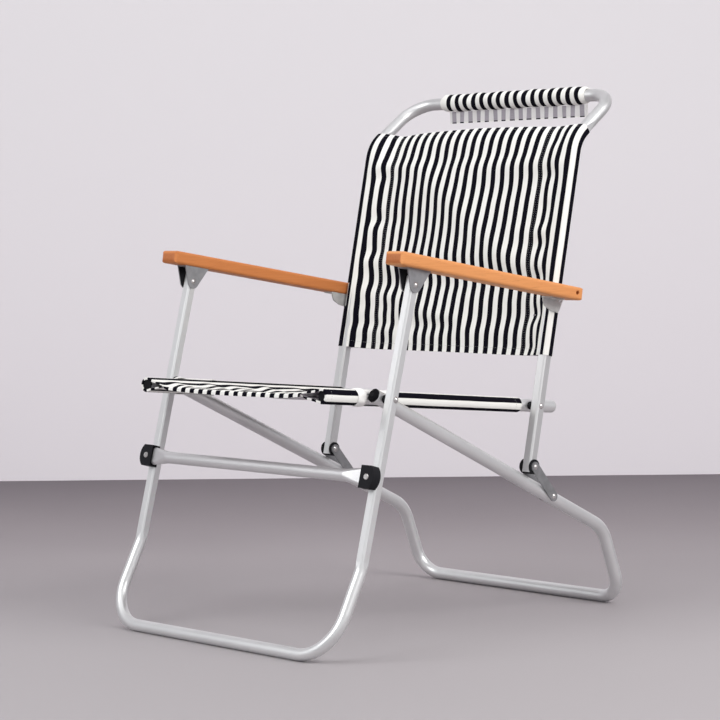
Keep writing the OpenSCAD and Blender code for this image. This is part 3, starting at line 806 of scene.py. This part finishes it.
def back_rows():
    front = Vector((0, -1, 0.2))
    rows = []
    vs = np.linspace(0.002, BACK_LONG - 0.002, 110)
    for side in (-1, 1):
        for x in BACK_SEAM_ROWS:
            rows.append([on_cloth(back_point, side * x, v, front) for v in vs])
    for v in BACK_HEM_ROWS:
        us = np.linspace(-U_FRONT - 0.006, U_FRONT + 0.006, 130)
        rows.append([on_cloth(back_point, u, v, front) for u in us])
    return rows


back_thread = stitches("back_stitches", back_rows(), "back")
back_width = 2 * U_SEAM


# The seat cloth is made in the same way over the two round rails. Its front hem rolls down
# between the rails, and each sleeve is cut away on the outside where the legs are riveted.
RAIL_X, RAIL_R = 0.214, 0.011
PIVOT = Vector((0, -0.2295, 0.400))
RAIL_END = Vector((0, 0.1449, 0.3646))
RAIL_D = (RAIL_END - PIVOT).normalized()
RAIL_UP = Vector((0, -RAIL_D.z, RAIL_D.y))
SEAT_FROM = -0.3335
SEAT_LONG = 0.4585
SEAT_SAG = 0.009
SEAT_SEAM = 0.046
HEM_FALL, HEM_BEND = 0.0085, 0.003
LIP = 0.0036
ASKEW = 0.0015  # how far forwards the front edge is at the right rail, and back at the left
SEAT_START = PIVOT + RAIL_D * ((SEAT_FROM - PIVOT.y) / RAIL_D.y)
ROUND = RAIL_R + 0.0004 + CLOTH / 2
W_TOP = RAIL_X
W_UNDER = W_TOP + math.pi * ROUND
W_SEAM = W_UNDER + SEAT_SEAM + 0.003


def seat_wave(x, v):
    side = 1 if x > 0 else 2
    near = bell((abs(x) - 0.165) / 0.028)
    turn = v * 2 * math.pi
    short = math.sin(turn / 0.066 + side * 1.7) + 0.5 * math.sin(turn / 0.041 + side)
    long = math.sin(turn / 0.17 + x * 11)
    return near * short * 0.0021 + long * 0.0012 * bell(x / 0.14)


def seat_height(x, v):
    """height over the rails' axis: round the rail, straight down to the seam, then the panel"""
    inward = W_TOP - abs(x)
    leave = ROUND * ROUND / SEAT_SEAM
    if inward < leave:
        return math.sqrt(ROUND * ROUND - inward * inward)
    if inward < SEAT_SEAM:
        slope = ROUND / math.sqrt(SEAT_SEAM * SEAT_SEAM - ROUND * ROUND)
        return (SEAT_SEAM - inward) * slope + seat_wave(x, v) * ease(leave, SEAT_SEAM, inward)
    deep = SEAT_SAG * (0.25 + 0.75 * ease(0.0, 0.12, v) * ease(0.0, 0.10, SEAT_LONG - v))
    span = 1 - (x / (W_TOP - SEAT_SEAM)) ** 2
    return seat_wave(x, v) - deep * span


def seat_point(u, v):
    s, side = abs(u), (1 if u > 0 else -1)
    askew = ASKEW * side * min(s, W_TOP) / W_TOP * (1 - v / SEAT_LONG)
    at = SEAT_START + RAIL_D * (v - askew)
    if s <= W_TOP:
        x = s
        up = seat_height(u, v)
        droop = ease(0.0, 0.008, W_TOP - SEAT_SEAM + 0.002 - s)
        fall = max(0.0, HEM_FALL - v)
        if fall > 0 and droop > 0:
            a = min(fall / HEM_BEND, math.pi / 2 * 0.94)
            straight = max(0.0, fall - a * HEM_BEND)
            back = HEM_BEND * math.sin(a) - fall + straight * math.cos(a)
            down = HEM_BEND * (1 - math.cos(a)) + straight * math.sin(a)
            at = at - RAIL_D * (back * droop)
            up -= down * droop
    elif s <= W_UNDER:
        a = (s - W_TOP) / ROUND
        x, up = RAIL_X + ROUND * math.sin(a), ROUND * math.cos(a)
    else:
        t = min(1.0, (s - W_UNDER) / (W_SEAM - W_UNDER))
        inward = SEAT_SEAM * t
        x = RAIL_X - inward
        up = -seat_height(side * x, v) * (1 - t ** 8) - 0.0032 * t * t
        up += t ** 8 * seat_height(side * x, v)
    if v < LIP and not (s <= W_TOP and droop > 0):
        # the mouth of the sleeve is turned in
        axis = min(x, RAIL_X)
        reach = math.hypot(x - axis, up)
        turn = min(LIP - v, 0.42 * reach)
        keep = 1 - turn / max(reach, 1e-6)
        x, up = axis + (x - axis) * keep, up * keep
        at = at + RAIL_D * (LIP - v)
    return Vector((side * x, 0, 0)) + at + RAIL_UP * up


CUT_BEFORE, CUT_AFTER = 0.017, 0.045
CUT_TOP, CUT_UNDER = math.radians(52), math.radians(168)
CUT_AT = (PIVOT - SEAT_START).length


def seat_print(u):
    """the stripes run a little wider than on the back, and further round the right sleeve"""
    return (u - 0.0013) / 1.028 - u + 0.0055 * ease(W_TOP - 0.03, W_TOP + 0.002, u)


def seat_cloth():
    half = along(
        [(0, 0.008), (0.12, 0.004), (W_TOP - 0.002, 0.0016), (W_UNDER, 0.006), (W_SEAM, 0.006)]
    )
    us = [-u for u in reversed(half[1:])] + half
    low, high = CUT_AT - CUT_BEFORE, CUT_AT + CUT_AFTER
    vs = along([(0, 0.0008), (0.010, 0.004), (low, 0.0045), (high, 0.005), (SEAT_LONG, 0.005)])

    def gone(u, v):
        a = (abs(u) - W_TOP) / ROUND
        return low < v < high and CUT_TOP < a < CUT_UNDER

    obj = cloth_mesh("seat_cloth", seat_point, us, vs, gone, seat_print)
    thicken(obj)
    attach(obj, "seat")
    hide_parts("seat_fabric")
    return obj


seat = seat_cloth()


SEAT_SEAM_ROWS = (RAIL_X - SEAT_SEAM - 0.0026, RAIL_X - SEAT_SEAM + 0.0022)
SEAT_HEM_ROWS = (0.015, SEAT_LONG - 0.014)


def seat_rows():
    top = Vector((0, 0, 1))
    rows = []
    vs = np.linspace(0.012, SEAT_LONG - 0.003, 120)
    for side in (-1, 1):
        for x in SEAT_SEAM_ROWS:
            rows.append([on_cloth(seat_point, side * x, v, top) for v in vs])
        out = Vector((side, 0, 0.3))
        for v in SEAT_HEM_ROWS:
            us = np.linspace(W_TOP - 0.002, W_UNDER - 0.006, 40)
            rows.append([on_cloth(seat_point, side * u, v, out) for u in us])
    for v in SEAT_HEM_ROWS:
        us = np.linspace(-W_TOP + 0.004, W_TOP - 0.004, 120)
        rows.append([on_cloth(seat_point, u, v, top) for u in us])
    return rows


seat_thread = stitches("seat_stitches", seat_rows(), "seat")


def plain_canvas():
    f = Finish("plain_canvas")
    at = f.node("ShaderNodeUVMap", {"uv_map": "cloth"})
    u, v, _ = f.parts(at)
    weave = (u * (2 * math.pi / WEAVE)).sin() * (v * (2 * math.pi / WEAVE)).sin()
    slub = f.noise(at, 900, 2)
    cloud = f.noise(at, 30, 2)
    f.set(
        Base_Color=f.mix(cloud.steps(0.3, 0.75), (0.90, 0.89, 0.87), (0.83, 0.82, 0.81)),
        Roughness=0.85 + (slub - 0.5) * 0.1,
        Normal=f.bump(weave * 0.5 + (slub - 0.5) * 1.2, 0.35, 0.00022),
    )
    f.shader.inputs["Specular IOR Level"].default_value = 0.05
    return f


tape_cloth = plain_canvas()
TAPE_R = ROUND + CLOTH + 0.0002


def cut_hem(side):
    """a folded tape round the cut-out: broad and full in front, narrow at the rear, and a
    strip that joins the two over the top"""
    ends = (
        (CUT_AT - CUT_BEFORE - 0.017, CUT_AT - CUT_BEFORE + 0.0015, 0.0030),
        (CUT_AT + CUT_AFTER - 0.0015, CUT_AT + CUT_AFTER + 0.008, 0.0010),
    )
    pieces = []
    for k, (near, far, full) in enumerate(ends):

        def point(u, v):
            a = u / ROUND
            t = (v - near) / (far - near)
            gather = 1 + 0.25 * math.sin(7 * a + 2 * k) * math.sin(math.pi * t)
            puff = full * max(0.0, math.sin(math.pi * t)) ** 0.6 * gather
            puff *= (0.55 + 0.45 * ease(0, 1.2, a)) * (1 - 0.85 * ease(1.8, 2.5, a))
            r = TAPE_R + puff
            at = SEAT_START + RAIL_D * v + RAIL_UP * (r * math.cos(a))
            return Vector((side * (RAIL_X + r * math.sin(a)), 0, 0)) + at

        top, under = math.radians(-12), math.radians(182)
        us = along([(top * ROUND, 0.0016), (under * ROUND, 0.0016)])
        vs = along([(near, (far - near) / 10), (far, (far - near) / 10)])
        pieces.append(cloth_mesh("cut_hem_part", point, us, vs))

    strip_from, strip_to = math.radians(20), math.radians(56)

    def strip(u, v):
        a = u / ROUND
        t = (a - strip_from) / (strip_to - strip_from)
        puff = 0.0022 * max(0.0, math.sin(math.pi * min(1, max(0, t)))) ** 0.6
        r = TAPE_R + puff * (1 + 0.2 * math.sin(v * 420))
        at = SEAT_START + RAIL_D * v + RAIL_UP * (r * math.cos(a))
        return Vector((side * (RAIL_X + r * math.sin(a)), 0, 0)) + at

    us = along([(strip_from * ROUND, 0.0009), (strip_to * ROUND, 0.0009)])
    vs = along([(CUT_AT - CUT_BEFORE - 0.001, 0.003), (CUT_AT + CUT_AFTER + 0.001, 0.003)])
    pieces.append(cloth_mesh("cut_hem_" + ("right" if side > 0 else "left"), strip, us, vs))
    bpy.ops.object.select_all(action="DESELECT")
    for piece in pieces:
        piece.select_set(True)
    bpy.context.view_layer.objects.active = pieces[-1]
    bpy.ops.object.join()
    hem = bpy.context.object
    hem.data.materials.append(tape_cloth.material)
    m = hem.modifiers.new("thickness", "SOLIDIFY")
    m.thickness = CLOTH
    m.offset = 0
    apply_all(hem)
    smooth_by_angle(hem, 50)
    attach(hem, "seat")
    return hem


cut_hems = [cut_hem(-1), cut_hem(1)]
2 * W_SEAM


# The roll is a foam sleeve on the top bar in a cover of the same canvas, which is wrapped
# round it and sewn shut underneath. The spare width of the cover hangs below as a flap.
BAR = Vector((0, 0.3596, 0.8945))
ROLL_X = (-0.166, 0.178)
ROLL_R = 0.0158
ROLL_HOLE = 0.0114
ROLL_SIDES = 44
PRINT_FINER = 1.037
ROLL_PRINT, FLAP_PRINT = -0.0111, -0.0125
PRINT_END = 8 * PERIOD  # the stripes stop here and the cloth goes on plain


def roll_point(u, v):
    """u along the bar, v round it from the bottom, over the front"""
    a = v / ROLL_R
    soft = 0.0005 * math.sin(u * 2 * math.pi / 0.045 + 2 * a) + 0.0004 * math.sin(u * 90 + 3 * a)
    end = ease(0.0, 0.010, min(ROLL_X[1] - u, u - ROLL_X[0]))
    r = ROLL_R - 0.0030 * (1 - end) ** 2 + soft * end
    return BAR + Vector((u, -math.sin(a) * r, -math.cos(a) * r))


def hole_ring(bm, ring):
    """the same ring drawn in to the hole for the bar"""
    drawn_in = []
    for vert in ring:
        centre = Vector((vert.co.x, BAR.y, BAR.z))
        out = (vert.co - centre).normalized()
        drawn_in.append(bm.verts.new(centre + out * ROLL_HOLE))
    return drawn_in


def head_roll():
    low, high = ROLL_X
    us = along([(low, 0.0015), (low + 0.012, 0.006), (high - 0.012, 0.0015), (high, 0.0015)])
    girth = 2 * math.pi * ROLL_R
    mesh = bpy.data.meshes.new("roll_cover")
    obj = bpy.data.objects.new("roll_cover", mesh)
    scene.collection.objects.link(obj)
    bm = bmesh.new()
    uv = bm.loops.layers.uv.new("cloth")
    vs = [girth * j / ROLL_SIDES for j in range(ROLL_SIDES + 1)]
    rings = [[bm.verts.new(roll_point(u, v)) for v in vs[:-1]] for u in us]
    near = hole_ring(bm, rings[0])
    far = hole_ring(bm, rings[-1])
    rings = [near, *rings, far, near]
    rings_u = [low, *us, high, low]
    for i in range(len(rings) - 1):
        for j in range(ROLL_SIDES):
            k = (j + 1) % ROLL_SIDES
            face = bm.faces.new((rings[i][j], rings[i + 1][j], rings[i + 1][k], rings[i][k]))
            corners = ((i, j), (i + 1, j), (i + 1, j + 1), (i, j + 1))
            for loop, (a, b) in zip(face.loops, corners):
                across = rings_u[a] * PRINT_FINER + ROLL_PRINT
                loop[uv].uv = (min(max(across, -PRINT_END), PRINT_END), vs[b])
    bmesh.ops.recalc_face_normals(bm, faces=bm.faces)
    bm.to_mesh(mesh)
    bm.free()
    mesh.materials.append(face_cloth.material)
    smooth_by_angle(obj, 40)
    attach(obj, "back")
    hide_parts("head_roll")


head_roll()

FLAP_X = (-0.152, 0.1775)
FLAP_TOP = BAR.z - ROLL_R - 0.0005
FLAP_LONG = 0.0215
FLAP_HEM = 0.0022  # turned over, so the face of the cloth shows


def flap_point(u, v):
    wave = 0.0012 * math.sin(u * 2 * math.pi / 0.052) + 0.0007 * math.sin(u * 2 * math.pi / 0.023)
    low = v / FLAP_LONG
    return Vector((u, BAR.y - 0.001 + wave * low, FLAP_TOP - v))


def flap_print(u):
    return u * PRINT_FINER + FLAP_PRINT - u


def roll_flap():
    us = along([(FLAP_X[0], 0.004), (FLAP_X[1], 0.004)])
    vs = along([(0, 0.002), (FLAP_LONG, 0.002)])
    obj = cloth_mesh("roll_flap", flap_point, us, vs, shift=flap_print)
    thicken(obj, 0.0012)
    for face in obj.data.polygons:
        if face.center.z < FLAP_TOP - FLAP_LONG + FLAP_HEM:
            face.material_index = 0
    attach(obj, "back")
    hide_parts("head_roll_flap")
    return obj


flap = roll_flap()
